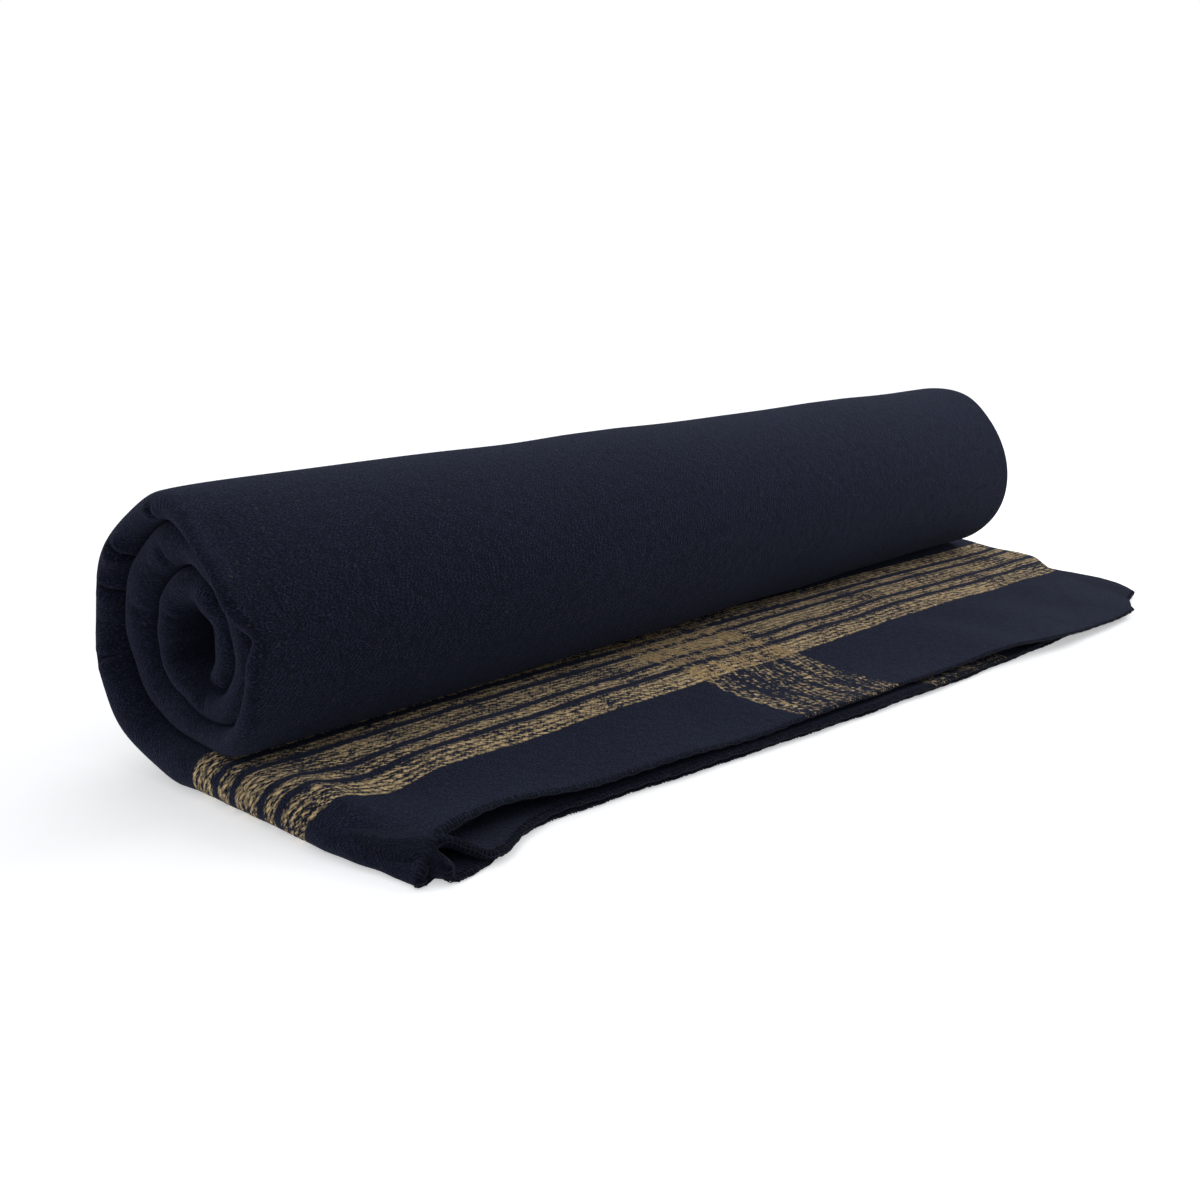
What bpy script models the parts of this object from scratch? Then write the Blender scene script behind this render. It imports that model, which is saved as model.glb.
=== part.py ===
"""Camp blanket, folded to a long strip of plies and rolled up, with its last stretch lying flat.

Across the strip, an outer layer of cloth folds round an inner layer at the near end (-X), and
both lie open at the far end. The strip is rolled from the back; its outer turn runs on under the
roll and forward (-Y) as the tail, which can be lifted.
Metres, +Z up, X along the roll, origin at the bottom centre of the whole blanket's box.
"""
import math

import bmesh
import bpy
from mathutils import Vector

# Roll
ROLL_DIAMETER = 0.100
ROLL_LENGTH = 0.498
STRIP_THICKNESS = 0.0145  # all the layers together, with the air between them
CORE_TURN = 0.72          # share of a turn that the innermost stretch makes
STEP_START = 0.7          # share of a turn after which the strip moves in to the next turn
STEPS_PER_TURN = 28
WRAP_CLEARANCE = 0.0004

# Layers of cloth in the strip
LAYER_CLEARANCE = 0.0005
FOLD_STEPS = 6

# Tail, measured forward from the roll's front and along from its two ends
HINGE_DISTANCE = 0.005
FLAP_GAP = 0.0003
TAIL_FRONT_HEIGHT = 0.0085  # at the longest reach
# Each layer's reach at the near end and at the far end, from the bottom layer up
LAYER_REACH = ((0.068, 0.091), (0.063, 0.092), (0.058, 0.094), (0.054, 0.096))
NEAR_OVERHANG = 0.002
BOTTOM_OVERHANG = (0.010, -0.001)  # at the far end: at the hinge, at the front
TOP_OVERHANG = (0.000, -0.028)

# Overlocked hems along the front edges
HEM_WIDTH = 0.003
HEM_CLEARANCE = 0.0003

ROLL_RADIUS = ROLL_DIAMETER / 2
WHOLE_TURNS = math.floor((ROLL_RADIUS - STRIP_THICKNESS / 2) / STRIP_THICKNESS)
STRIP_HEIGHT = STRIP_THICKNESS - WRAP_CLEARANCE
LAYER_HEIGHT = (STRIP_HEIGHT - 3 * LAYER_CLEARANCE) / 4
LONGEST_REACH = max(max(reach) for reach in LAYER_REACH)
TAIL_SLOPE = (STRIP_HEIGHT - TAIL_FRONT_HEIGHT) / (LONGEST_REACH - HINGE_DISTANCE)
BOTTOM_LENGTH = [NEAR_OVERHANG + ROLL_LENGTH + overhang for overhang in BOTTOM_OVERHANG]
TOP_LENGTH = [NEAR_OVERHANG + ROLL_LENGTH + overhang for overhang in TOP_OVERHANG]
BOX_LENGTH = max(*BOTTOM_LENGTH, *TOP_LENGTH, NEAR_OVERHANG + ROLL_LENGTH)
BOX_DEPTH = ROLL_DIAMETER + LONGEST_REACH
NEAR_X = -BOX_LENGTH / 2
AXIS_Y = BOX_DEPTH / 2 - ROLL_RADIUS
HINGE_Y = AXIS_Y - ROLL_RADIUS - HINGE_DISTANCE


def clear_scene():
    for thing in list(bpy.data.objects):
        bpy.data.objects.remove(thing, do_unlink=True)


def fabric_material(name, colour, roughness):
    material = bpy.data.materials.new(name)
    material.use_nodes = True
    shader = material.node_tree.nodes["Principled BSDF"]
    shader.inputs["Base Color"].default_value = (*colour, 1.0)
    shader.inputs["Roughness"].default_value = roughness
    shader.inputs["Metallic"].default_value = 0.0
    return material


def between(pair, share):
    return pair[0] + (pair[1] - pair[0]) * share


# Outlines across the strip: two paths side by side, of (x from the near fold, height)

def layer_span(number):
    """Lowest and highest edge of one of the strip's four layers, counted from its underside."""
    low = number * (LAYER_HEIGHT + LAYER_CLEARANCE)
    return low, low + LAYER_HEIGHT


def fold_outline(low, high, length):
    """A layer folded back on itself at the near end: a U on its side, open at the far end."""
    middle = (low + high) / 2
    centre = low + (high - low) / 2
    paths = []
    for radius in ((high - low) / 2, (high - low) / 2 - LAYER_HEIGHT):
        path = [(length, middle + radius), (STRIP_HEIGHT, middle + radius)]
        for i in range(FOLD_STEPS + 1):
            angle = math.pi / 2 + math.pi * i / FOLD_STEPS
            path.append((centre + radius * math.cos(angle), middle + radius * math.sin(angle)))
        path += [(STRIP_HEIGHT, middle - radius), (length, middle - radius)]
        paths.append(path)
    return paths


def layer_outlines(length):
    outer = fold_outline(0.0, STRIP_HEIGHT, length)
    inner = fold_outline(layer_span(1)[0], layer_span(2)[1], length)
    return {"outer_layer": outer, "inner_layer": inner}


# Places along the strip

def turn_radius(turns):
    """Radius of the strip's middle: each turn is round, then steps in low down at the front."""
    whole = math.floor(turns)
    share = max(0.0, turns - whole - STEP_START) / (1 - STEP_START)
    step = share * share * (3 - 2 * share)
    return ROLL_RADIUS - STRIP_THICKNESS * (0.5 + whole + step)


def wound_point(x, height, turns):
    """A point of the wound strip. Before its first turn, -turns is the way forward in metres."""
    x += NEAR_X + NEAR_OVERHANG
    if turns < 0:
        return Vector((x, AXIS_Y + turns, height))
    angle = 2 * math.pi * turns
    radius = turn_radius(turns) + STRIP_THICKNESS / 2 - height
    y = AXIS_Y + radius * math.sin(angle)
    return Vector((x, y, ROLL_RADIUS - radius * math.cos(angle)))


def tail_reach(x, height):
    """How far the tail reaches from the roll: a straight edge per layer, but for the near folds."""
    level = 4 * height / STRIP_HEIGHT
    if x < STRIP_HEIGHT:
        level = max(0.0, min(3.0, level - 0.5))
    else:
        level = min(3, math.floor(level))
    below = min(2, math.floor(level))
    reaches = (between(LAYER_REACH[below], x / BOX_LENGTH),
               between(LAYER_REACH[below + 1], x / BOX_LENGTH))
    return between(reaches, level - below)


def tail_point(x, height, forward, distance):
    """A point of the tail: forward is 0 at the hinge and 1 at the front, distance is past that."""
    share = height / STRIP_HEIGHT
    back = HINGE_DISTANCE + FLAP_GAP
    front = tail_reach(x, height) - HEM_WIDTH - HEM_CLEARANCE
    y = AXIS_Y - ROLL_RADIUS - between((back, front), forward) - distance
    length = between((between(BOTTOM_LENGTH, forward), between(TOP_LENGTH, forward)), share)
    top = STRIP_HEIGHT - TAIL_SLOPE * (HINGE_Y - y)
    return Vector((NEAR_X + length * x / BOX_LENGTH, y, top * share))


def add_loft(name, outline, places, place_point, collection, material):
    """One closed body that carries an outline from place to place.

    place_point turns (x, height) and a place into a point. The outline's two paths make the
    body's two sides, and at its ends each point of one path is joined to its fellow.
    """
    body = bmesh.new()
    sides = [[[body.verts.new(place_point(x, height, place)) for x, height in path]
              for place in places] for path in outline]
    first, second = sides
    for rows in sides:
        for row, following in zip(rows, rows[1:]):
            for i in range(len(row) - 1):
                body.faces.new((row[i], row[i + 1], following[i + 1], following[i]))
    for i in range(len(first[0]) - 1):
        for end in (0, -1):
            body.faces.new((first[end][i], first[end][i + 1], second[end][i + 1], second[end][i]))
    for j in range(len(places) - 1):
        for edge in (0, -1):
            body.faces.new((first[j][edge], first[j + 1][edge], second[j + 1][edge],
                            second[j][edge]))
    bmesh.ops.recalc_face_normals(body, faces=body.faces)
    mesh = bpy.data.meshes.new(name)
    body.to_mesh(mesh)
    body.free()
    mesh.shade_smooth()
    mesh.set_sharp_from_angle(angle=math.radians(35))
    mesh.materials.append(material)
    collection.objects.link(bpy.data.objects.new(name, mesh))


def add_roll(collection, material):
    """The layers of each turn, end to end, with a clearance where one turn becomes the next."""
    for number in range(WHOLE_TURNS + 1):
        wrap = "core" if number == WHOLE_TURNS else f"wrap_{number + 1}"
        share = CORE_TURN if wrap == "core" else 1.0
        steps = round(share * STEPS_PER_TURN)
        places = [number + share * i / steps for i in range(steps + 1)]
        if number:
            places[0] += WRAP_CLEARANCE / (2 * math.pi * turn_radius(number))
        else:
            places.insert(0, HINGE_Y - AXIS_Y)
        for layer, outline in layer_outlines(ROLL_LENGTH).items():
            add_loft(f"{wrap}_{layer}", outline, places, wound_point, collection, material)


def add_tail(collection, cloth, thread):
    """The tail's two folded layers, and the hem thread along the front of each of their panels."""

    def layer_point(x, height, forward):
        return tail_point(x, height, forward, 0.0)

    def hem_point(x, height, distance):
        return tail_point(x, height, 1.0, distance)

    for layer, outline in layer_outlines(BOX_LENGTH).items():
        add_loft(f"tail_{layer}", outline, (0.0, 1.0), layer_point, collection, cloth)
    hems = ("hem_bottom_outer", "hem_bottom_inner", "hem_top_inner", "hem_top_outer")
    places = (HEM_CLEARANCE, HEM_CLEARANCE + HEM_WIDTH)
    for number, name in enumerate(hems):
        outline = [[(STRIP_HEIGHT, edge), (BOX_LENGTH, edge)] for edge in layer_span(number)]
        add_loft(name, outline, places, hem_point, collection, thread)


def build():
    clear_scene()
    collection = bpy.data.collections.new("camp_blanket")
    bpy.context.scene.collection.children.link(collection)
    cloth = fabric_material("navy_wool", (0.012, 0.014, 0.030), 0.95)
    thread = fabric_material("hem_thread", (0.018, 0.020, 0.038), 0.85)
    add_roll(collection, cloth)
    add_tail(collection, cloth, thread)


build()
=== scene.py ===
"""Looks of the rolled camp blanket: napped wool twill, tan stripes, overlocked hems, soft studio.

The cloth is modelled ply by ply. A strip of three nested folds, open at the far end, lies flat as
the tail and then winds into the roll. Lengths are in metres. "Blanket coordinates" run from the
roll's near end (x), from its axis (y, back is positive) and from the floor (z).
"""
import math

import bpy
import numpy as np
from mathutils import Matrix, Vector


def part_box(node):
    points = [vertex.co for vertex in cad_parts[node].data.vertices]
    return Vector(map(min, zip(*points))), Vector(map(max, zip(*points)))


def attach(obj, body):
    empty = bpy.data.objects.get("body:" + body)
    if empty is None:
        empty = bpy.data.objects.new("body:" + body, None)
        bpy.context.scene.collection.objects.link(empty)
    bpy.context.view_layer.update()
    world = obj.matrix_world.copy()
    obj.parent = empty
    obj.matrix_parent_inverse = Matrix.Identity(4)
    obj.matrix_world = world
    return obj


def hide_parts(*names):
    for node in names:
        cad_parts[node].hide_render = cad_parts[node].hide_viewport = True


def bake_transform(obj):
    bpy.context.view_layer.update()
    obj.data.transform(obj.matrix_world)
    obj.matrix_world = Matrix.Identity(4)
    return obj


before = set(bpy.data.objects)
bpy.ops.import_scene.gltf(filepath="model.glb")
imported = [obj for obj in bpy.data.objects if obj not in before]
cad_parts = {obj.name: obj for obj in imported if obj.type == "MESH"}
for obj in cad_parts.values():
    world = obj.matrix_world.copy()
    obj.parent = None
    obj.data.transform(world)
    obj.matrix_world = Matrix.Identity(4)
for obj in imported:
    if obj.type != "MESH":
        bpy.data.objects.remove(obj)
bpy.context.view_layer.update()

WRAP_LOW, WRAP_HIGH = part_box("wrap_1_outer_layer")
RADIUS = WRAP_HIGH.z / 2
ORIGIN = np.array((WRAP_LOW.x, WRAP_HIGH.y - RADIUS, 0.0))
LENGTH = WRAP_HIGH.x - WRAP_LOW.x

# The strip
END_TURN = 2.86          # turns that the strip makes before it ends in the core
BUNDLE = 0.0145          # thickness of the whole strip where it is full
PLY = 0.0020             # thickness of one ply there
TAIL_PLY = 0.0013        # and at the tail's front edge, where it is pressed
WRAP_GAP = 0.0003        # air between one turn and the next
TAIL_LENGTH = 0.115      # from under the roll's axis to the front edge
TAIL_THICK = 0.0138      # height of the flat strip in front of the roll
TURN_RADII = (0.043, 0.032, 0.018)     # mean radius of each turn


# ---------------------------------------------------------------- numbers and shapes

def waves(u, v, size, seed, count=7):
    """Soft bumps about `size` across, from about -1 to 1, the same each run."""
    rng = np.random.default_rng(seed)
    total = 0.0
    for _ in range(count):
        angle, phase = rng.uniform(0, 2 * math.pi, 2)
        k = 2 * math.pi / size * rng.uniform(0.6, 1.5)
        total = total + np.sin(k * (u * math.cos(angle) + v * math.sin(angle)) + phase)
    return total / (0.55 * count)


def curve(knots, smooth):
    """A function through (place, value) knots, with its corners rounded over `smooth`."""
    places, values = np.array(knots, float).T
    grid = np.arange(places[0] - 4 * smooth, places[-1] + 4 * smooth, smooth / 4)
    raw = np.interp(grid, places, values)
    reach = np.arange(-12, 13)
    kernel = np.exp(-0.5 * (reach / 4) ** 2)
    soft = np.convolve(np.pad(raw, 12, mode="edge"), kernel / kernel.sum(), mode="valid")
    return lambda x: np.interp(x, grid, soft)


def bump(x, centre, width):
    return np.exp(-((x - centre) / width) ** 2)


def bumps(x, shapes):
    """Sum of bumps, each given as (centre, width, height)."""
    return sum(height * bump(x, centre, width) for centre, width, height in shapes)


def ramp(x, start, end):
    """From 0 at start to 1 at end, with a soft beginning and end."""
    share = np.clip((x - start) / (end - start), 0, 1)
    return share * share * (3 - 2 * share)


def blend(a, b, share):
    return a * (1 - share) + b * share


# Radius of the strip's outer side against turns made: near end, as wound by hand, and far end
NEAR_SPIRAL = curve((
    (-0.2, 0.0500), (0.40, 0.0501), (0.50, 0.0505), (0.56, 0.0502), (0.625, 0.0500),
    (0.75, 0.0496), (0.82, 0.0482), (0.875, 0.0455),
    (0.94, 0.0362), (1.0, 0.0335), (1.125, 0.0340), (1.25, 0.0343), (1.375, 0.0358),
    (1.5, 0.0410), (1.625, 0.0425), (1.75, 0.0432), (1.82, 0.0415), (1.875, 0.0345),
    (2.0, 0.0200), (2.125, 0.0185), (2.25, 0.0176), (2.375, 0.0195), (2.5, 0.0250),
    (2.625, 0.0270), (2.75, 0.0268), (2.875, 0.0225), (3.0, 0.0125), (3.1, 0.0100),
    (3.25, 0.0055), (3.5, 0.0105), (3.6, 0.0130), (3.75, 0.0135), (4.2, 0.0135)), 0.02)
FAR_SPIRAL = curve((
    (-0.2, 0.0500), (0.25, 0.0500), (0.50, 0.0518), (0.62, 0.0512), (0.74, 0.0500),
    (0.80, 0.0484), (0.86, 0.0440), (1.0, 0.0350), (1.7, 0.0352),
    (1.86, 0.0300), (2.0, 0.0208), (2.7, 0.0205), (2.9, 0.0120), (3.05, 0.0070),
    (4.2, 0.0070)), 0.03)
INNER_WOBBLE = 0.0007    # how uneven the inner turns are
SLACK = 0.00045          # and the outer wrap, beyond the near end
# Flats where the outer wrap's near rim has slipped in: turn, width, depth, how fast they fade
SLIPS = ((0.602, 0.068, 0.0042, 1), (0.430, 0.055, 0.0026, 2))
SLIP_REACH = 0.020

# The near fold: where its apex lies along x, against turns, and how deep it is
NOSE_X = curve((
    (-0.2, -0.0044), (0.00, -0.0046), (0.06, -0.0056), (0.13, -0.0060), (0.19, -0.0060),
    (0.25, -0.0038), (0.34, -0.0028), (0.46, -0.0022), (0.52, -0.0040), (0.556, -0.0060),
    (0.61, -0.0082), (0.680, -0.0080), (0.702, -0.0050), (0.719, 0.0016),
    (0.738, -0.0046), (0.81, -0.0048), (0.93, -0.0010), (1.0, 0.0002), (1.3, -0.0012),
    (1.6, -0.0008), (2.0, 0.0014), (2.4, 0.0022), (2.9, 0.0030), (4.2, 0.0035)), 0.008)
NOSE_DEPTH = 0.0088
HEM_DRAW = 0.0044        # how far the near corner is drawn in at the hem
INNER_DRAW = 0.0052      # and the inner fold's corner beyond that
# Creases that pinch the near fold, as (turn, depth): sharp on the outer wrap, faint further in
OUTER_CREASES = ((0.205, 0.0100), (0.250, 0.0045), (0.300, 0.0095), (0.362, 0.0110),
                 (0.487, 0.0060))
INNER_CREASES = ((1.30, 0.0016), (1.47, 0.0030), (1.93, 0.0022), (2.36, 0.0020))
CREASE_WIDTH = 0.0058    # in turns
SWELL_WIDTH = 0.02       # of the cloth that stands up beside a crease
FAINT_WIDTH = 0.010

# Front edge of the tail, from the roll's axis, along x: top ply of the outer fold, inner fold
TOP_HEM = curve((
    (-0.02, 0.1200), (0.000, 0.1195), (0.0045, 0.1155), (0.008, 0.1126), (0.0127, 0.1100),
    (0.027, 0.1090), (0.045, 0.1070), (0.070, 0.1115), (0.114, 0.1165),
    (0.183, 0.1235), (0.272, 0.1300), (0.300, 0.1330), (0.335, 0.1395), (0.365, 0.1450),
    (0.395, 0.1465), (0.440, 0.1465), (0.48, 0.1450), (0.52, 0.1420)), 0.004)
INNER_HEM = curve((
    (-0.01, 0.1215), (0.006, 0.1225), (0.020, 0.1225), (0.032, 0.1180), (0.044, 0.1125),
    (0.062, 0.1112), (0.100, 0.1158), (0.159, 0.1228), (0.272, 0.1332), (0.350, 0.1368),
    (0.400, 0.1370), (0.46, 0.1340), (0.495, 0.1262), (0.53, 0.1180)), 0.005)
INNER_TOP_HEM = curve((
    (-0.01, 0.1150), (0.008, 0.1130), (0.0155, 0.1135), (0.0185, 0.1190), (0.0237, 0.1225),
    (0.031, 0.1218), (0.044, 0.1145), (0.062, 0.1112), (0.100, 0.1165), (0.159, 0.1242),
    (0.272, 0.1345), (0.350, 0.1375), (0.400, 0.1375), (0.46, 0.1345), (0.494, 0.1268),
    (0.53, 0.1180)), 0.0025)
FLOOR_HEM = curve((
    (-0.01, 0.1150), (-0.001, 0.1178), (0.004, 0.1180), (0.012, 0.1140), (0.022, 0.1080),
    (0.060, 0.1050), (0.159, 0.1180), (0.272, 0.1290), (0.378, 0.1355), (0.43, 0.1380),
    (0.466, 0.1408), (0.50, 0.1400), (0.53, 0.1380)), 0.004)
# Far edge of the tail's plies, against the way forward to the hem: the one on the floor, the
# inner fold's two and the top one, which is turned back the furthest
FLOOR_EDGE = curve(((0, 0.502), (0.60, 0.4960), (0.85, 0.4830), (0.95, 0.4670), (1.0, 0.4580),
                    (1.05, 0.4500)), 0.012)
INNER_EDGE = curve(((0, 0.504), (0.45, 0.5030), (0.66, 0.5115), (0.82, 0.5080), (0.93, 0.5000),
                    (1.0, 0.4870), (1.05, 0.4800)), 0.012)
UPPER_EDGE = curve(((0, 0.5110), (0.14, 0.5110), (0.26, 0.5065), (0.46, 0.5020), (0.51, 0.4930),
                    (0.57, 0.4830), (0.70, 0.4750), (0.87, 0.4670), (0.94, 0.4600),
                    (0.975, 0.4480), (1.0, 0.4360), (1.05, 0.4300)), 0.012)
FAR_INSET = 0.0012       # from the roll's length to the outermost ply's far edge
FAR_RAGGED = 0.0012      # how uneven the far edges are
# Where the wraps' far edges stand out and back, against the turn: (turn, width, distance)
FAR_SHIFTS = ((0.54, 0.06, 0.0075), (0.88, 0.07, -0.0015))
# Height of the top ply above its front edge, and of the inner fold's upper and lower ply
TOP_RISE = curve((
    (-0.01, 0.0022), (0.000, 0.0030), (0.0045, 0.0054), (0.008, 0.0078), (0.0127, 0.0092),
    (0.021, 0.0106), (0.032, 0.0108), (0.045, 0.0096), (0.065, 0.0080), (0.090, 0.0068),
    (0.150, 0.0062), (0.260, 0.0058), (0.300, 0.0064), (0.330, 0.0082), (0.355, 0.0070),
    (0.385, 0.0050), (0.420, 0.0044), (0.52, 0.0042)), 0.004)
INNER_RISE = curve((
    (-0.01, 0.0070), (0.008, 0.0086), (0.0155, 0.0090), (0.0182, 0.0060), (0.0225, 0.0028),
    (0.034, 0.0024), (0.052, 0.0026), (0.52, 0.0024)), 0.0025)
INNER_LOW = 0.0008
# Hump and dips in the top ply near its corner: (place along x, width, height)
HUMPS = ((0.007, 0.006, 0.0026), (0.028, 0.012, -0.0030), (0.056, 0.014, 0.0009))
# Distance of the stripes' front edge from the roll's axis, on the top ply and the floor ply
STRIPE_EDGE = curve((
    (-0.02, 0.0730), (0.125, 0.0735), (0.25, 0.0790), (0.45, 0.0858), (0.52, 0.0872)), 0.02)
STRIPE_EDGE_LOW = curve((
    (-0.02, 0.0690), (0.125, 0.0705), (0.25, 0.0760), (0.45, 0.0850), (0.52, 0.0890)), 0.02)
INNER_STRIPE_SHIFT = 0.045         # further in on the inner fold, where it is covered


def spiral(turns, x):
    """Radius of the strip's outer side."""
    radius = blend(NEAR_SPIRAL(turns), FAR_SPIRAL(turns), ramp(x, 0.05, 0.42))
    inner = ramp(turns, 0.9, 1.2)
    radius = radius + inner * INNER_WOBBLE * waves(turns * 0.2, x, 0.09, 11)
    slack = (SLACK * waves(turns * 0.31, x, 0.12, 12) - 0.0004) * ramp(x, 0.08, 0.18)
    near = np.exp(-np.clip(x, 0, 1) / SLIP_REACH)
    flat = 0
    for turn, width, depth, fade in SLIPS:
        flat = flat + depth * bump(turns % 1.0, turn, width) * near ** fade
    return radius + (1 - inner) * ramp(turns, 0.05, 0.2) * (np.minimum(slack, 0) - flat)


def tail_top(x, y):
    """Height of the strip's upper side where it lies flat; y is distance forward of the axis."""
    under_roll = RADIUS - spiral(np.ones_like(x), x) - WRAP_GAP
    in_front = TAIL_THICK - 0.0024 * ramp(x, 0.36, 0.50)
    height = blend(under_roll, in_front, ramp(y, 0.0, 0.050))
    height = blend(height, TOP_RISE(x), ramp(y, 0.045, TOP_HEM(x) - 0.004))
    height = height + bumps(x, HUMPS) * bump(y, 0.072, 0.022)
    sag = 0.0007 * waves(x, y, 0.085, 21) + 0.00025 * waves(x, y, 0.030, 22)
    return height + sag * ramp(y, 0.035, 0.06)


# ---------------------------------------------------------------- one ply folded in two

RIM = np.array((0.0, 0.06, 0.2, 0.5))         # steps of a rim, in cloth thicknesses
RIM_SHARE = np.array((0.0, 0.47, 0.8, 1.0))   # and the cloth's thickness there
RIM_ROW = 0.0170                              # a cloth thickness, in the tail's rows


def graded(start, end, first, last, grow):
    """Places from start to end whose steps grow from first by the factor grow up to last."""
    places, step = [start], first
    while places[-1] + step < end:
        places.append(places[-1] + step)
        step = min(last, step * grow)
    places[-1] = end
    return np.array(places)


def rim_share(count):
    """Share of the cloth's thickness at count rows or columns, which thins out at both rims."""
    share = np.ones(count)
    share[:4] = RIM_SHARE
    share[-4:] = RIM_SHARE[::-1]
    return share


def strip_rows(step, start_back):
    """Rows along the strip: -1 at the front hem, 0 under the roll's axis, then turns."""
    tail = np.linspace(-1, 0, round(TAIL_LENGTH / step))[1:]
    turns = [0.0]
    while turns[-1] < END_TURN:
        radius = max(0.008, float(NEAR_SPIRAL(turns[-1])))
        share = 0.55 if 0.18 < turns[-1] < 0.40 else 1.0      # finer where the creases are
        turns.append(turns[-1] + share * step / (2 * math.pi * radius))
    turns[-1] = END_TURN
    rim = RIM * RIM_ROW
    rows = np.concatenate((-1 + rim, tail[tail > -1 + rim[-1] * 1.5], turns[1:-1],
                           END_TURN - rim[::-1] * 1.2))
    if start_back:
        rows[rows < 0] *= start_back
    return rows


def fold_columns(kind, step):
    """Columns from the outer panel's far edge, round the near fold, to the inner panel's: the
    angle round the fold in radians, and the share of the way from the fold to the far edge."""
    nose = np.linspace(-90, 90, 29 if kind == "outer" else 19)
    run = graded(0.0, 1.0, 0.0022, step / LENGTH * 1.25, 1.10)[1:]
    rim = 1 - RIM * PLY / LENGTH
    run = np.concatenate((run[run < rim[-1] - 0.002], rim[::-1]))
    angle = np.concatenate((np.full(len(run), -90.0), nose, np.full(len(run), 90.0)))
    return np.radians(angle), np.concatenate((run[::-1], np.zeros(len(nose)), run))


def far_edge(along, level, depth, kind):
    """How far along x each panel runs: staggered selvedges, cut back on the tail's top ply."""
    edge = LENGTH - FAR_INSET - 0.6 * depth
    edge = edge + FAR_RAGGED * waves(along * 0.25, level, 0.12, 51)
    edge = edge + bumps(along % 1.0, FAR_SHIFTS) * ramp(along, 0.0, 0.3)
    forward = np.clip(-along, 0, 1)
    if kind == "outer":
        tail = blend(FLOOR_EDGE(forward), UPPER_EDGE(forward), level)
    else:
        tail = INNER_EDGE(forward) - 0.0012 * (1 - level)
    return blend(edge, tail, ramp(forward, 0.0, 0.10))


def place(along, x, level, side, kind):
    """Blanket coordinates of points: level is 0 on the strip's outer side and 1 on its inner,
    and side is -1 on a ply's outer panel, 1 on its inner one and between them round the fold."""
    forward = np.clip(-along, 0, 1)
    if kind == "outer":
        hem = blend(FLOOR_HEM(x), TOP_HEM(x), level)
    else:
        hem = blend(INNER_HEM(x), INNER_TOP_HEM(x), ramp(side, 0.2, 1.0))
    hem = hem + 0.0006 * waves(x, level * 0.4, 0.05, 31)
    y = -hem * forward
    z = tail_top(x, -y) * level
    if kind != "outer":
        pressed = INNER_LOW + (INNER_RISE(x) - INNER_LOW) * (side + 1) / 2
        z = blend(z, pressed, ramp(-y, 0.048, 0.082))
    turns = np.maximum(along, 0)
    radius = blend(spiral(turns, x), spiral(turns + 1, x) + WRAP_GAP, level)
    angle = 2 * math.pi * turns
    wound = np.stack((x, radius * np.sin(angle), RADIUS - radius * np.cos(angle)), -1)
    flat = np.stack((x, y, z), -1)
    return np.where((along < 0)[..., None], flat, wound)


def thickness(along, x):
    """Thickness of the whole strip."""
    forward = np.clip(-along, 0, 1)
    turns = np.maximum(along, 0)
    wound = spiral(turns, x) - spiral(turns + 1, x)
    return np.where(along < 0, tail_top(x, forward * TOP_HEM(x)), wound)


def fold_apex(along, inset, kind):
    """Where along x the near fold's apex lies, for a ply that lies inset deep in the strip."""
    forward = np.clip(-along, 0, 1)
    apex = NOSE_X(np.maximum(along, 0)) + inset * 1.1
    apex = apex + (0.0008 - 0.0004 * (along < 0)) * waves(along * 0.31, along * 0, 0.035, 41)
    apex = apex + HEM_DRAW * ramp(forward, 0.66, 1.0)
    if kind != "outer":
        apex = apex + INNER_DRAW * ramp(forward, 0.88, 0.99)
    return apex


def creases(along):
    """How far the near fold is pinched in along x."""
    pinch = 0
    for turn, depth in OUTER_CREASES:
        pinch = pinch + depth * bump(along, turn, CREASE_WIDTH)
        pinch = pinch - 0.30 * depth * bump(along, turn, SWELL_WIDTH)
    for turn, depth in INNER_CREASES:
        pinch = pinch + depth * bump(along, turn, FAINT_WIDTH)
    return pinch


def grid_normals(points):
    across = np.gradient(points, axis=1)
    along = np.gradient(points, axis=0)
    normal = np.cross(across, along)
    return normal / np.maximum(np.linalg.norm(normal, axis=-1, keepdims=True), 1e-12)


def across_cloth(x, height, middle):
    """Length across the cloth from the fold's apex, which is in the middle column."""
    steps = np.hypot(np.diff(x, axis=1), np.diff(height, axis=1))
    total = np.concatenate((np.zeros((len(x), 1)), np.cumsum(steps, axis=1)), axis=1)
    return total - total[:, middle][:, None]


def along_cloth(y, x, level, rows, kind):
    """Length along the cloth from the stripes' front edge, back towards the core."""
    stripe = blend(STRIPE_EDGE_LOW(x), STRIPE_EDGE(x), level)
    if kind != "outer":
        stripe = stripe - INNER_STRIPE_SHIFT
    turns = np.maximum(rows, 0)
    radius = np.array(TURN_RADII)[np.minimum(turns[1:].astype(int), 2)]
    wound = np.concatenate(((0,), np.cumsum(np.diff(turns) * 2 * math.pi * radius)))
    return stripe + np.where((rows < 0)[:, None], y, wound[:, None])


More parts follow.
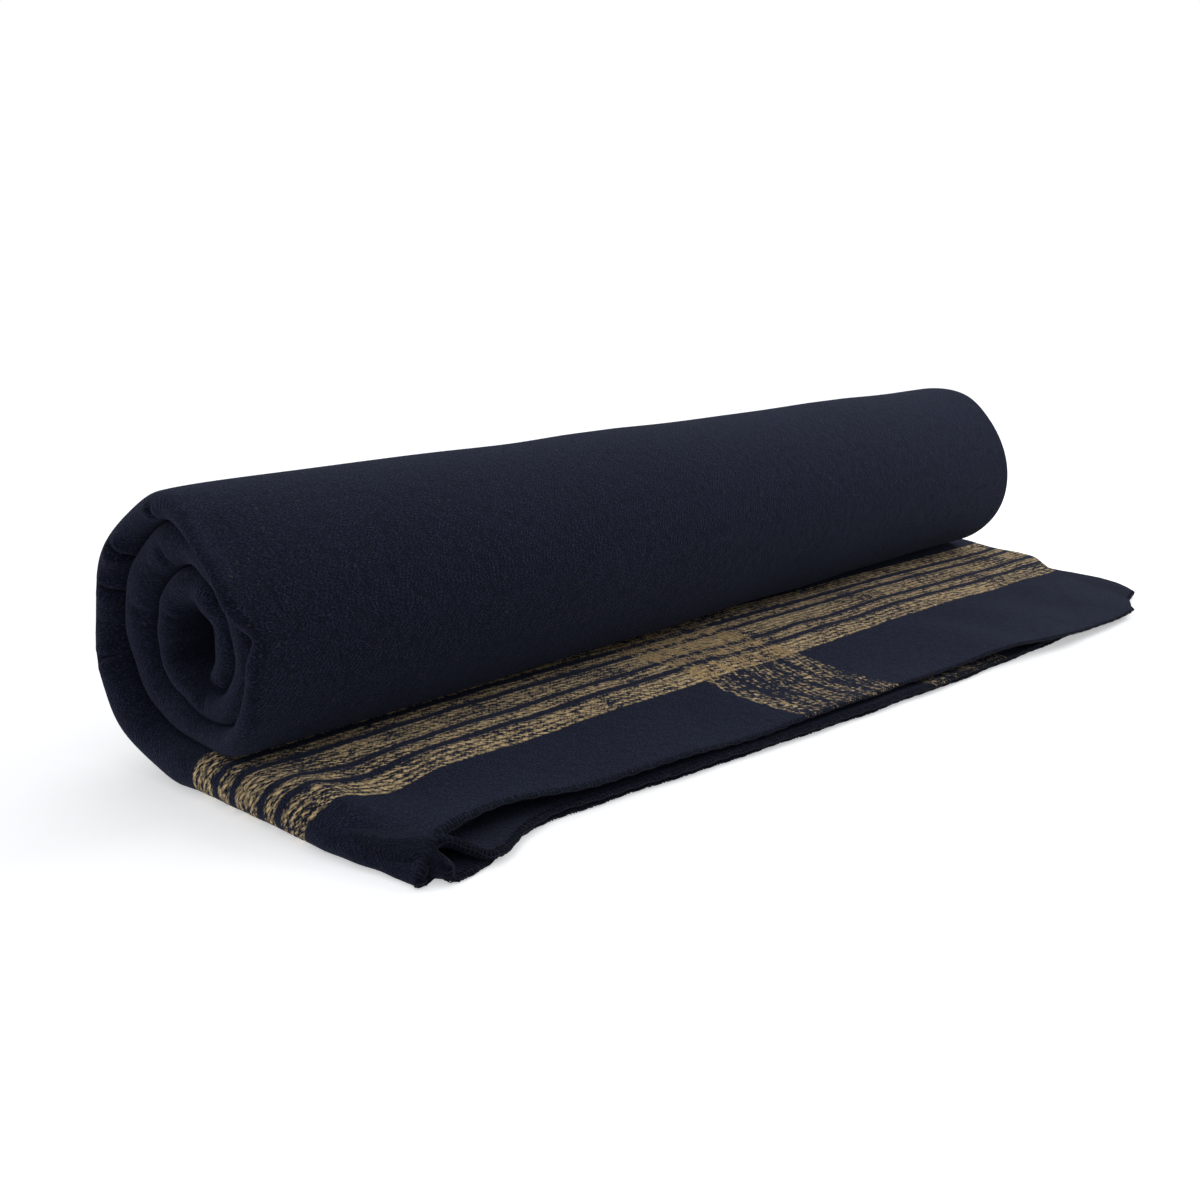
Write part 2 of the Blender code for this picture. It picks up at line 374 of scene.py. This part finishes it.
def cloth_grid(kind, depth, step, start_back=None):
    """Middle surface of one folded ply that lies depth inside the strip, as a grid of points,
    with its thickness, the cloth's own coordinates and the place along the strip."""
    rows = strip_rows(step, start_back)
    columns, reach = fold_columns(kind, step)
    along, angle = np.meshgrid(rows, columns, indexing="ij")
    tail = along < 0
    forward = np.clip(-along, 0, 1)
    side = np.sin(angle)
    bundle = np.maximum(thickness(along, np.full(along.shape, 0.02)), 0.003)
    inset = depth * np.minimum(1, bundle / BUNDLE)
    level = 0.5 + side * (0.5 - inset / bundle)
    nose_depth = np.minimum(NOSE_DEPTH, bundle * 0.62) - 0.8 * inset
    nose_depth = np.maximum(0.35 * NOSE_DEPTH, nose_depth)
    nose_depth = np.where(tail, nose_depth * (1 - 0.30 * ramp(forward, 0.0, 0.5)), nose_depth)
    pinch = creases(along) * ramp(angle, -0.50, 0.50) * np.cos(angle)     # on its inner half
    start = fold_apex(along, inset, kind) + nose_depth * (1 - np.cos(angle) ** 0.85) + pinch
    x = start + (far_edge(along, level, inset, kind) - start) * reach
    points = place(along, x, level, side, kind)
    ply = blend(np.minimum(PLY, 0.145 * bundle + 0.0002), TAIL_PLY, forward)
    corner = ramp(forward, 0.84, 0.97) * bump(x, 0.010, 0.018) * ramp(side, -1.3, -0.5)
    ply = ply + (0.0027 if kind == "outer" else 0.0020) * corner     # the near corner is puffed
    cloth_u = across_cloth(x, level * bundle, columns.size // 2)
    cloth_u = cloth_u + side * HEM_DRAW * ramp(forward, 0.50, 1.0)
    cloth_v = along_cloth(points[..., 1], x, level, rows, kind)
    share = rim_share(len(rows))[:, None] * rim_share(len(columns))[None, :]
    return points, ply * share, np.stack((cloth_u, cloth_v), -1), along


def cloth_piece(name, parts):
    """One mesh object from one or more cloth grids, each made a closed body."""
    vertices, faces, uvs, start = [], [], [], 0
    for points, ply, cloth, _ in parts:
        half = (ply / 2)[..., None] * grid_normals(points)
        outer = np.arange(ply.size).reshape(ply.shape) + start
        thick = ply > 0                 # at the rims the two sides share their vertices
        inner = outer.copy()
        inner[thick] = start + ply.size + np.arange(thick.sum())
        vertices += [(points + half).reshape(-1, 3), (points - half)[thick]]
        vertex_uv = np.concatenate((cloth.reshape(-1, 2), cloth[thick]))
        for ids, order in ((outer, (0, 1, 2, 3)), (inner, (0, 3, 2, 1))):
            quad = np.stack((ids[:-1, :-1], ids[:-1, 1:], ids[1:, 1:], ids[1:, :-1]), -1)
            quad = quad.reshape(-1, 4)[:, order]
            faces.append(quad)
            uvs.append(vertex_uv[quad - start])
        start += len(vertex_uv)
    vertices = np.concatenate(vertices)
    vertices[:, 2] = np.maximum(vertices[:, 2], 0.0)          # it lies flat on the floor
    return mesh_object(name, vertices, np.concatenate(faces), np.concatenate(uvs))


def mesh_object(name, vertices, faces, uvs=None):
    """An object from vertices in blanket coordinates and faces of one size."""
    mesh = bpy.data.meshes.new(name)
    corners = faces.shape[1]
    mesh.vertices.add(len(vertices))
    mesh.vertices.foreach_set("co", (vertices + ORIGIN).astype(np.float32).ravel())
    mesh.loops.add(faces.size)
    mesh.loops.foreach_set("vertex_index", faces.astype(np.int32).ravel())
    mesh.polygons.add(len(faces))
    mesh.polygons.foreach_set("loop_start", np.arange(0, faces.size, corners, dtype=np.int32))
    mesh.update(calc_edges=True)
    mesh.shade_smooth()
    if uvs is not None:
        layer = mesh.uv_layers.new(name="cloth")
        layer.data.foreach_set("uv", uvs.astype(np.float32).ravel())
    piece = bpy.data.objects.new(name, mesh)
    bpy.context.scene.collection.objects.link(piece)
    return piece


# ---------------------------------------------------------------- materials

class Nodes:
    """Short hand for building a material's node tree."""

    def __init__(self, name):
        self.material = bpy.data.materials.new(name)
        self.material.use_nodes = True
        self.tree = self.material.node_tree
        self.shader = self.tree.nodes["Principled BSDF"]

    def link(self, value, socket):
        if isinstance(value, bpy.types.NodeSocket):
            self.tree.links.new(value, socket)
        elif value is not None:
            socket.default_value = value

    def shade(self, **settings):
        """Set the shader's sockets, named with _ for a space."""
        for name, value in settings.items():
            self.link(value, self.shader.inputs[name.replace("_", " ")])

    def node(self, kind, inputs=(), output=0, **settings):
        made = self.tree.nodes.new(kind)
        for key, value in settings.items():
            setattr(made, key, value)
        for key, value in dict(inputs).items():
            self.link(value, made.inputs[key])
        return made.outputs[output]

    def math(self, operation, a, b=None):
        inputs = {i: v for i, v in enumerate((a, b)) if v is not None}
        return self.node("ShaderNodeMath", inputs, operation=operation)

    def plus(self, a, b):
        return self.math("ADD", a, b)

    def minus(self, a, b):
        return self.math("SUBTRACT", a, b)

    def times(self, a, b):
        return self.math("MULTIPLY", a, b)

    def mix(self, share, a, b):
        made = self.tree.nodes.new("ShaderNodeMix")
        made.data_type = "RGBA"
        self.link(share, made.inputs["Factor"])
        for value, socket in ((a, made.inputs[6]), (b, made.inputs[7])):
            self.link((*value, 1.0) if isinstance(value, tuple) else value, socket)
        return made.outputs[2]

    def noise(self, vector, scale, detail=2.0, rough=0.5):
        return self.node("ShaderNodeTexNoise", {
            "Vector": vector, "Scale": scale, "Detail": detail, "Roughness": rough})

    def stretched(self, vector, across, along, turn=0.0):
        """Coordinates that make a noise's grains finer by these two factors. turn is about the
        noise's own origin, so it picks other grains but doesn't slant them."""
        return self.node("ShaderNodeMapping", {
            "Vector": vector, "Rotation": (0.0, 0.0, turn), "Scale": (across, along, 1.0)})

    def slanted(self, vector, angle, length, width):
        """Coordinates that make a noise's grains length by width, lying at an angle."""
        return self.node("ShaderNodeMapping", {
            "Vector": vector, "Rotation": (0.0, 0.0, angle), "Scale": (length, width, 1.0)},
            vector_type="TEXTURE")

    def lines(self, value, pitch):
        """Soft lines, -1 to 1, at a pitch along value."""
        return self.math("SINE", self.times(value, 2 * math.pi / pitch))

    def span(self, value, start, end, low=0.0, high=1.0):
        return self.node("ShaderNodeMapRange", {
            "Value": value, "From Min": start, "From Max": end, "To Min": low, "To Max": high})


# A stripe group: (start, end) of its tan bands, wide, narrow, wide, narrow, wide
BANDS = ((0.0, 0.0115), (0.0151, 0.0206), (0.0242, 0.0357), (0.0393, 0.0448), (0.0484, 0.0600))
BAND_BLUR = 0.0004
TWILL = 0.00185          # from one diagonal to the next, along either yarn
ROPE = 0.0029            # from one row of tan yarn to the next
DOT_ROWS = 0.0027        # and between the rows of dots

NAVY_DEEP = (0.0029, 0.0037, 0.0081)
NAVY_WORN = (0.0049, 0.0060, 0.0128)
NAVY_FIBRE = (0.040, 0.049, 0.106)
NAVY_PIT = (0.0010, 0.0013, 0.0028)
NAVY_CLUMP = (0.0016, 0.0020, 0.0044)
PAINTED_SHADE_BLACK = (0.0, 0.0, 0.0)
LINT = (0.048, 0.034, 0.026)
TAN_DEEP_AND_SHADE = (0.115, 0.078, 0.036)
TAN_STRAND_AND_HIGHLIGHT = (0.880, 0.620, 0.285)
TAN_FIBRE = (1.000, 0.840, 0.560)
TAN_GROOVE_PAINTED_SHADE = (0.050, 0.042, 0.036)
TAN_GAP = (0.034, 0.030, 0.028)
OCHRE_DEEP = (0.260, 0.160, 0.060)
OCHRE = (0.760, 0.520, 0.220)
SHEEN = (0.52, 0.62, 1.00, 1.0)
THREAD_DARK = (0.0062, 0.0074, 0.0135)
THREAD_LIGHT = (0.0160, 0.0185, 0.0310)


def band_mask(n, value, start):
    """1 inside a stripe group's bands, which lie from start on."""
    total = None
    for low, high in BANDS:
        centre, half = start + (low + high) / 2, (high - low) / 2
        distance = n.math("ABSOLUTE", n.minus(value, centre))
        inside = n.span(distance, half - BAND_BLUR, half + BAND_BLUR, 1.0, 0.0)
        total = inside if total is None else n.math("MAXIMUM", total, inside)
    return total


def wool(name, crossing, shade):
    """Napped wool twill in navy with tan stripes. crossing is where the second group lies, and
    shade is how bright the navy is: below 1 it mixes the navy towards black, as painted shade."""
    n = Nodes(name)
    uv = n.node("ShaderNodeUVMap", uv_map="cloth")
    position = n.node("ShaderNodeTexCoord", output=3)
    split = n.tree.nodes.new("ShaderNodeSeparateXYZ")
    n.link(uv, split.inputs[0])
    # the yarns wander a little
    sway = n.minus(n.noise(uv, 70.0, 3.0), 0.5)
    sway_fine = n.minus(n.noise(uv, 420.0, 2.0), 0.5)
    u = n.plus(split.outputs[0], n.plus(n.times(sway, 0.0022), n.times(sway_fine, 0.0016)))
    v = n.plus(split.outputs[1], n.plus(n.times(sway, -0.0020), n.times(sway_fine, -0.0018)))
    band_v = band_mask(n, v, 0.0)
    band_u = band_mask(n, u, crossing)
    # the weave: the twill's diagonal, rows of tan yarn, rows of dots, strands and loose fibres
    diagonal = n.lines(n.minus(u, v), TWILL)
    rope = n.lines(v, ROPE)
    slant = n.lines(n.minus(u, n.times(v, 0.35)), DOT_ROWS)
    streak = n.noise(n.stretched(uv, 170.0, 620.0), 1.0, 3.0, 0.6)
    strand = n.noise(n.slanted(uv, -0.52, 0.0030, 0.0010), 1.0, 2.0, 0.55)
    dash = n.noise(n.slanted(uv, -0.7, 0.0026, 0.0017), 1.0, 2.0, 0.6)
    fibre = n.noise(n.stretched(uv, 950.0, 2300.0, turn=0.7), 1.0, 3.0, 0.65)
    fine = n.noise(position, 1700.0, 2.0, 0.6)
    clump = n.noise(uv, 260.0, 3.0, 0.6)
    patch = n.minus(n.noise(uv, 45.0, 3.0, 0.55), 0.5)
    # how much of the tan yarn lies on top: slanting strands in rows, with dark gaps between them
    cover = n.plus(n.times(streak, 0.38), n.times(strand, 0.62))
    cover = n.plus(cover, n.times(rope, 0.034))
    cover = n.plus(cover, n.times(diagonal, 0.030))
    cover = n.plus(cover, n.times(patch, 0.42))
    tan_v = n.times(band_v, n.span(cover, 0.43, 0.54))
    # the second group shows as slanting rows of dots, thinner between its bands
    whole_u = n.times(n.math("GREATER_THAN", u, crossing),
                      n.math("LESS_THAN", u, crossing + BANDS[-1][1]))
    dots = n.plus(dash, n.times(slant, 0.050))
    dots = n.plus(dots, n.times(patch, 0.42))
    dots = n.plus(dots, n.times(band_u, 0.11))
    tan_u = n.times(whole_u, n.span(dots, 0.60, 0.76))
    both = n.times(n.times(band_u, band_v), n.span(n.plus(cover, n.times(slant, 0.05)), 0.34, 0.52))
    tan = n.math("MAXIMUM", n.math("MAXIMUM", tan_v, tan_u), both)
    # colours
    navy = n.mix(n.span(n.noise(uv, 34.0, 4.0, 0.6), 0.3, 0.7), NAVY_DEEP, NAVY_WORN)
    navy = n.mix(n.span(fibre, 0.48, 0.72, 0.0, 0.90), navy, NAVY_FIBRE)
    navy = n.mix(n.span(fine, 0.52, 0.30, 0.0, 0.85), navy, NAVY_PIT)
    navy = n.mix(n.span(clump, 0.50, 0.34, 0.0, 0.55), navy, NAVY_CLUMP)
    # painted shade: with shade below 1 the navy is mixed towards black
    navy = n.mix(1 - shade, navy, PAINTED_SHADE_BLACK)
    navy = n.mix(n.span(n.noise(uv, 430.0, 1.0), 0.70, 0.77, 0.0, 0.7), navy, LINT)
    # the strands' own tan, with painted highlight and shade on their twist: darker between,
    # brighter along the slanting strands
    gold = n.mix(n.span(strand, 0.36, 0.64), TAN_DEEP_AND_SHADE, TAN_STRAND_AND_HIGHLIGHT)
    gold = n.mix(n.span(fine, 0.52, 0.68, 0.0, 0.85), gold, TAN_FIBRE)
    # painted shade in the grooves between the rows of tan yarn
    gold = n.mix(n.span(rope, -0.3, -1.0, 0.0, 0.6), gold, TAN_GROOVE_PAINTED_SHADE)
    gold = n.mix(n.span(dash, 0.47, 0.32, 0.0, 0.9), gold, TAN_GAP)
    bright = n.mix(n.span(fine, 0.35, 0.65), OCHRE_DEEP, OCHRE)
    gold = n.mix(n.times(both, 0.8), gold, bright)
    # relief: twill lines, nap and yarn rows
    relief = n.times(diagonal, n.span(clump, 0.40, 0.66, 0.0, 0.22))
    for height, share in ((fibre, 0.55), (fine, 0.6), (clump, 0.9),
                          (n.times(tan, band_v), 0.30), (n.times(rope, band_v), 0.16)):
        relief = n.plus(relief, n.times(height, share))
    normal = n.node("ShaderNodeBump", {"Height": relief, "Strength": 0.95, "Distance": 0.0008})
    n.shade(Base_Color=n.mix(tan, navy, gold), Normal=normal, Roughness=1.0,
            Specular_IOR_Level=0.10, Sheen_Weight=0.09, Sheen_Roughness=0.55, Sheen_Tint=SHEEN)
    return n.material


def thread(name):
    """Dark navy overlock thread."""
    n = Nodes(name)
    position = n.node("ShaderNodeTexCoord", output=3)
    colour = n.mix(n.noise(position, 900.0, 2.0), THREAD_DARK, THREAD_LIGHT)
    n.shade(Base_Color=colour, Roughness=0.85, Specular_IOR_Level=0.15)
    return n.material


def light_table(name):
    """White sweep that glows a little, as under a cut-out."""
    n = Nodes(name)
    n.shade(Base_Color=(0.90, 0.90, 0.90, 1.0), Roughness=0.9,
            Emission_Color=(1.0, 1.0, 1.0, 1.0), Emission_Strength=0.44)
    return n.material


# ---------------------------------------------------------------- hems and nap

STITCH_PITCH = 0.0014
STITCH_DEPTH = 0.0026     # how far in from the edge a stitch reaches
STITCH_END = 0.0015       # from a hem's end to its first stitch
BEAD_STEP = 0.0012        # from one point of the bead along the edge to the next
THREAD = 0.00020          # radius
# A stitch's path over the edge: share of the depth inwards, and height in half thicknesses
STITCH_PATH = ((1.0, 1.0), (0.5, 1.1), (0.08, 0.8), (-0.12, 0.0), (0.08, -0.8), (0.5, -1.1),
               (1.0, -1.0))
OFF_FLOOR = 0.0001
# The nap's fibres: (share of the length, share of the width) along one, and half its width
FIBRE_STEPS = ((0.0, 1.0), (0.35, 0.9), (0.7, 0.7), (1.0, 0.3))
FIBRE_WIDTH = 0.000035


def unit(vectors):
    return vectors / np.maximum(np.linalg.norm(vectors, axis=-1, keepdims=True), 1e-12)


def tubes(paths, side, radius):
    """Square tubes along paths (tube, point, xyz), whose rings span side and its perpendicular."""
    across = unit(np.cross(np.gradient(paths, axis=1), side))
    rings = np.stack([paths + radius * (math.cos(a) * side + math.sin(a) * across)
                      for a in np.radians((45, 135, 225, 315))], axis=2)
    count, length = paths.shape[:2]
    ids = np.arange(count * length * 4).reshape(count, length, 4)
    turned = np.roll(ids, -1, axis=2)
    walls = np.stack((ids[:, :-1], turned[:, :-1], turned[:, 1:], ids[:, 1:]), -1).reshape(-1, 4)
    caps = np.concatenate((ids[:, 0, ::-1], ids[:, -1]))
    return rings.reshape(-1, 3), np.concatenate((walls, caps))


def overlock(name, grid, seed):
    """Overlocked thread round a folded ply's front edge: stitches over it and a bead along it."""
    points, ply, _, along = grid
    rng = np.random.default_rng(seed)
    row = int(np.argmax((along[:, 0] + 1) * TAIL_LENGTH > STITCH_DEPTH))
    edge, inside, normal = points[0], points[row], grid_normals(points)[row]
    travelled = np.concatenate(((0,), np.cumsum(np.linalg.norm(np.diff(edge, axis=0), axis=1))))

    def at(values, where):
        columns = values.reshape(len(travelled), -1).T
        return np.stack([np.interp(where, travelled, column) for column in columns], -1)

    def frame_at(where):
        tangent = unit(at(edge, where + 0.0008) - at(edge, where - 0.0008))
        inward = unit(at(inside, where) - at(edge, where))
        return at(edge, where), tangent, inward, unit(at(normal, where))

    stations = np.arange(STITCH_END, travelled[-1] - STITCH_END, STITCH_PITCH)
    stations = stations + rng.uniform(-0.0004, 0.0004, len(stations))
    base, tangent, inward, up = frame_at(stations)
    half = np.maximum(at(ply[row], stations)[:, 0], 0.0009) / 2 + THREAD * 0.5
    depth = STITCH_DEPTH * rng.uniform(0.75, 1.1, len(stations))
    lean = rng.uniform(0.0004, 0.0011, len(stations))
    paths = []
    for step, (reach, rise) in enumerate(STITCH_PATH):
        slant = lean * (step / (len(STITCH_PATH) - 1) - 0.5)
        paths.append(base + inward * (reach * depth)[:, None] + up * (rise * half)[:, None]
                     + tangent * slant[:, None])
    paths = np.stack(paths, axis=1)
    side = np.broadcast_to(tangent[:, None], paths.shape)
    stitch_points, stitch_faces = tubes(paths, side, THREAD)

    where = np.arange(0.001, travelled[-1] - 0.001, BEAD_STEP)
    base, _, inward, up = frame_at(where)
    wobble = 0.00025 * np.sin(where * 2 * math.pi / STITCH_PITCH)
    bead = (base - inward * 0.0003 + up * wobble[:, None])[None]
    bead_points, bead_faces = tubes(bead, np.broadcast_to(up, bead.shape), THREAD * 1.2)
    vertices = np.concatenate((stitch_points, bead_points))
    vertices[:, 2] = np.maximum(vertices[:, 2], OFF_FLOOR)
    return mesh_object(name, vertices,
                       np.concatenate((stitch_faces, bead_faces + len(stitch_points))))


def nap(name, grid, count, seed):
    """Loose fibres that stand off a ply's outer side, as thin strips with their root's colour."""
    points, ply, cloth, along = grid
    rng = np.random.default_rng(seed)
    normal = grid_normals(points)
    # roots, spread evenly over the outer side but for its rims
    rows = np.where((along[:, 0] > -0.985) & (along[:, 0] < 0.97))[0]
    area = np.linalg.norm(np.cross(np.gradient(points, axis=0), np.gradient(points, axis=1)),
                          axis=-1)
    area[:, :4] = area[:, -4:] = 0
    chosen = rng.choice(area[rows].size, count, p=area[rows].ravel() / area[rows].sum())
    row, column = rows[chosen // points.shape[1]], chosen % points.shape[1]
    beside = np.minimum(column + 1, points.shape[1] - 1)
    share = rng.uniform(0, 1, (2, count, 1))
    up = normal[row, column]
    down = points[row + 1, column] - points[row, column]
    right = points[row, beside] - points[row, column]
    root = points[row, column] + up * (ply[row, column] / 2)[:, None]
    root = root + down * share[0] + right * share[1]
    uv = cloth[row, column] + (cloth[row + 1, column] - cloth[row, column]) * share[0]
    # each fibre leaves its root in a flat arc and bends sideways
    heading = unit(down) * rng.normal(0, 1, (count, 1))
    heading = unit(heading + unit(right) * rng.normal(0, 1, (count, 1)))
    length = rng.uniform(0.0008, 0.0024, (count, 1))
    bend = unit(np.cross(up, heading)) * rng.normal(0, 0.35, (count, 1))
    steps = []
    for t, _ in FIBRE_STEPS:
        lift = 0.30 * t - 0.26 * t * t
        steps.append(root + length * (heading * t + up * lift + bend * t * t))
    steps[0] = steps[0] - up * 0.0001        # rooted just inside the cloth
    paths = np.stack(steps, axis=1)
    width = unit(np.cross(np.gradient(paths, axis=1), up[:, None])) * FIBRE_WIDTH
    width = width * np.array([taper for _, taper in FIBRE_STEPS])[None, :, None]
    strip = np.stack((paths - width, paths + width), axis=2)
    strip[..., 2] = np.maximum(strip[..., 2], OFF_FLOOR)
    points_each = 2 * len(FIBRE_STEPS)
    ids = np.arange(count * points_each).reshape(count, len(FIBRE_STEPS), 2)
    faces = np.stack((ids[:, :-1, 0], ids[:, 1:, 0], ids[:, 1:, 1], ids[:, :-1, 1]), -1)
    faces = faces.reshape(-1, 4)
    return mesh_object(name, strip.reshape(-1, 3), faces, np.repeat(uv, points_each, axis=0)[faces])


# ---------------------------------------------------------------- build the cloth

OUTER_WOOL = wool("wool_twill_outer", crossing=0.1912, shade=1.0)
# its navy is darkened as painted shade, for plies that lie in shadow deep inside the strip
INNER_WOOL_PAINTED_SHADE = wool("wool_twill_inner_painted_shade", crossing=0.262, shade=0.55)

outer_grid = cloth_grid("outer", depth=0.0010, step=0.0020)
inner_grid = cloth_grid("inner", depth=0.0034, step=0.0050)
core_grid = cloth_grid("inner", depth=0.0058, step=0.0060, start_back=0.4)

outer_fold = cloth_piece("outer_fold", (outer_grid,))
inner_fold = cloth_piece("inner_fold", (inner_grid, core_grid))
outer_nap = nap("outer_fold_nap", outer_grid, count=26000, seed=61)
for piece, material in ((outer_fold, OUTER_WOOL), (inner_fold, INNER_WOOL_PAINTED_SHADE),
                        (outer_nap, OUTER_WOOL)):
    piece.data.materials.append(material)
    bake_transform(piece)
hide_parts("wrap_1_outer_layer", "wrap_2_outer_layer", "core_outer_layer",
            "tail_outer_layer")
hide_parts("wrap_1_inner_layer", "wrap_2_inner_layer", "core_inner_layer",
            "tail_inner_layer")

THREAD_LOOK = thread("overlock_thread")
outer_hem = overlock("outer_hem_thread", outer_grid, seed=71)
inner_hem = overlock("inner_hem_thread", inner_grid, seed=72)
for piece in (outer_hem, inner_hem):
    piece.data.materials.append(THREAD_LOOK)
    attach(piece, "tail")
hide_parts("hem_top_outer", "hem_bottom_outer")
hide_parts("hem_top_inner", "hem_bottom_inner")


# ---------------------------------------------------------------- studio

FLOOR_HALF = 3.2


def floor():
    mesh = bpy.data.meshes.new("stage_floor")
    corners = [(x * FLOOR_HALF, y * FLOOR_HALF, 0) for x, y in ((-1, -1), (1, -1), (1, 1), (-1, 1))]
    mesh.from_pydata(corners, [], [(0, 1, 2, 3)])
    made = bpy.data.objects.new("stage_floor", mesh)
    made.data.materials.append(light_table("studio_floor"))
    bpy.context.scene.collection.objects.link(made)
    made.visible_diffuse = False     # a white floor this close would light the cloth from below


def light(name, kind, place, aim, **settings):
    """A light at a place, turned to its aim, with its own settings."""
    data = bpy.data.lights.new(name, kind)
    for key, value in settings.items():
        setattr(data, key, value)
    made = bpy.data.objects.new(name, data)
    made.location = place
    made.rotation_euler = (Vector(aim) - Vector(place)).to_track_quat("-Z", "Y").to_euler()
    bpy.context.scene.collection.objects.link(made)


def surroundings():
    """Soft light from all round, and pure white where the camera sees past the floor."""
    world = bpy.data.worlds.new("studio_world")
    world.use_nodes = True
    tree = world.node_tree
    shown = tree.nodes["Background"]
    shown.inputs["Color"].default_value = (1.0, 1.0, 1.0, 1.0)
    shown.inputs["Strength"].default_value = 1.0
    ambient = tree.nodes.new("ShaderNodeBackground")
    ambient.inputs["Color"].default_value = (0.92, 0.95, 1.0, 1.0)
    ambient.inputs["Strength"].default_value = 0.52
    switch = tree.nodes.new("ShaderNodeMixShader")
    path = tree.nodes.new("ShaderNodeLightPath")
    tree.links.new(path.outputs["Is Camera Ray"], switch.inputs[0])
    tree.links.new(ambient.outputs[0], switch.inputs[1])
    tree.links.new(shown.outputs[0], switch.inputs[2])
    tree.links.new(switch.outputs[0], tree.nodes["World Output"].inputs["Surface"])
    bpy.context.scene.world = world


floor()
light("key_back", "SUN", (0.75, 0.95, 1.70), (0.0, 0.0, 0.0), energy=0.56, angle=1.0)
light("key_far_end", "AREA", (0.80, -0.30, 0.55), (0.25, -0.05, 0.02),
      shape="RECTANGLE", size=0.5, size_y=0.4, energy=3.0)
light("fill_left", "AREA", (-1.8, -0.6, 1.3), (0.0, 0.0, 0.03),
      shape="RECTANGLE", size=1.4, size_y=1.2, energy=3.0)
surroundings()
bpy.context.scene.view_settings.view_transform = "Standard"

# ---------------------------------------------------------------- camera

CAMERA_PLACE = (-0.490, -0.3474, 0.1688)
CAMERA_YAW = 0.7269      # from +X towards +Y
CAMERA_PITCH = 0.2333    # down
camera_data = bpy.data.cameras.new("camera")
camera_data.sensor_width = 36.0
camera_data.lens = 42.0
camera_data.clip_start = 0.02
camera = bpy.data.objects.new("camera", camera_data)
camera.location = CAMERA_PLACE
forward = Vector((math.cos(CAMERA_PITCH) * math.cos(CAMERA_YAW),
                  math.cos(CAMERA_PITCH) * math.sin(CAMERA_YAW), -math.sin(CAMERA_PITCH)))
camera.rotation_euler = forward.to_track_quat("-Z", "Y").to_euler()
bpy.context.scene.collection.objects.link(camera)
bpy.context.scene.camera = camera
